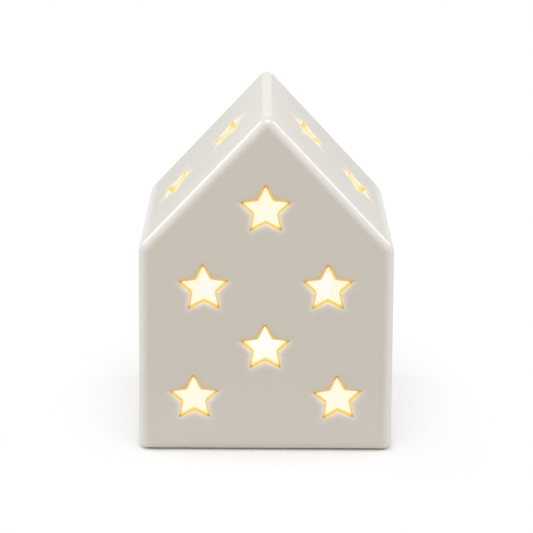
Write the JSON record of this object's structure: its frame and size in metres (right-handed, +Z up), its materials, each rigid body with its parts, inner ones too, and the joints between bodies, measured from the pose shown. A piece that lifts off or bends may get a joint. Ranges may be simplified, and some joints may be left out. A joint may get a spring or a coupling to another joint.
{
  "type": "tealight house",
  "caption": "Glazed ceramic tealight house with a gable front, star cut-outs in front and roof, and a doorway at the back for the battery tealight that lights it.",
  "frame": {"origin": "under the middle of the house, on the surface that it stands on", "axes": "+Z up, +X to the viewer's right, -Y out of the gable front, +Y out of the doorway"},
  "size_m": [0.081, 0.063, 0.11],
  "materials": {
    "glaze": "glossy warm grey glaze",
    "candle_plastic": "satin, like wax",
    "flame_plastic": "frosted, lit from inside",
    "lamp_epoxy": "clear amber",
    "tinned_wire": "tinned",
    "board": "green solder mask",
    "cell_steel": "bright nickel plate",
    "contact_steel": "nickel plate",
    "cover_plastic": "satin",
    "switch_steel": "tinned plate",
    "knob_plastic": "black"
  },
  "bodies": {
    "house": {"house_shell": "glaze"},
    "tealight": {"candle_body": "candle_plastic", "flame_tip": "flame_plastic", "led_lamp": "lamp_epoxy", "led_leads": "tinned_wire", "circuit_board": "board", "coin_cell": "cell_steel", "positive_contact": "contact_steel", "negative_contact": "contact_steel", "base_plate": "candle_plastic", "switch_housing": "switch_steel", "switch_terminals": "tinned_wire"},
    "cover": {"battery_cover": "cover_plastic"},
    "knob": {"switch_knob": "knob_plastic"}
  },
  "joints": [
    {"name": "tealight_slide", "type": "slide", "parent": "house", "child": "tealight", "axis": [0, 1, 0], "range_m": [0, 0.06]},
    {"name": "switch_slide", "type": "slide", "parent": "tealight", "child": "knob", "axis": [1, 0, 0], "range_m": [0, 0.003]},
    {"name": "battery_cover_turn", "type": "hinge", "parent": "tealight", "child": "cover", "pos_m": [0, -0.0021, 0.0068], "axis": [0, 0, 1], "range_deg": [0, 30]}
  ]
}
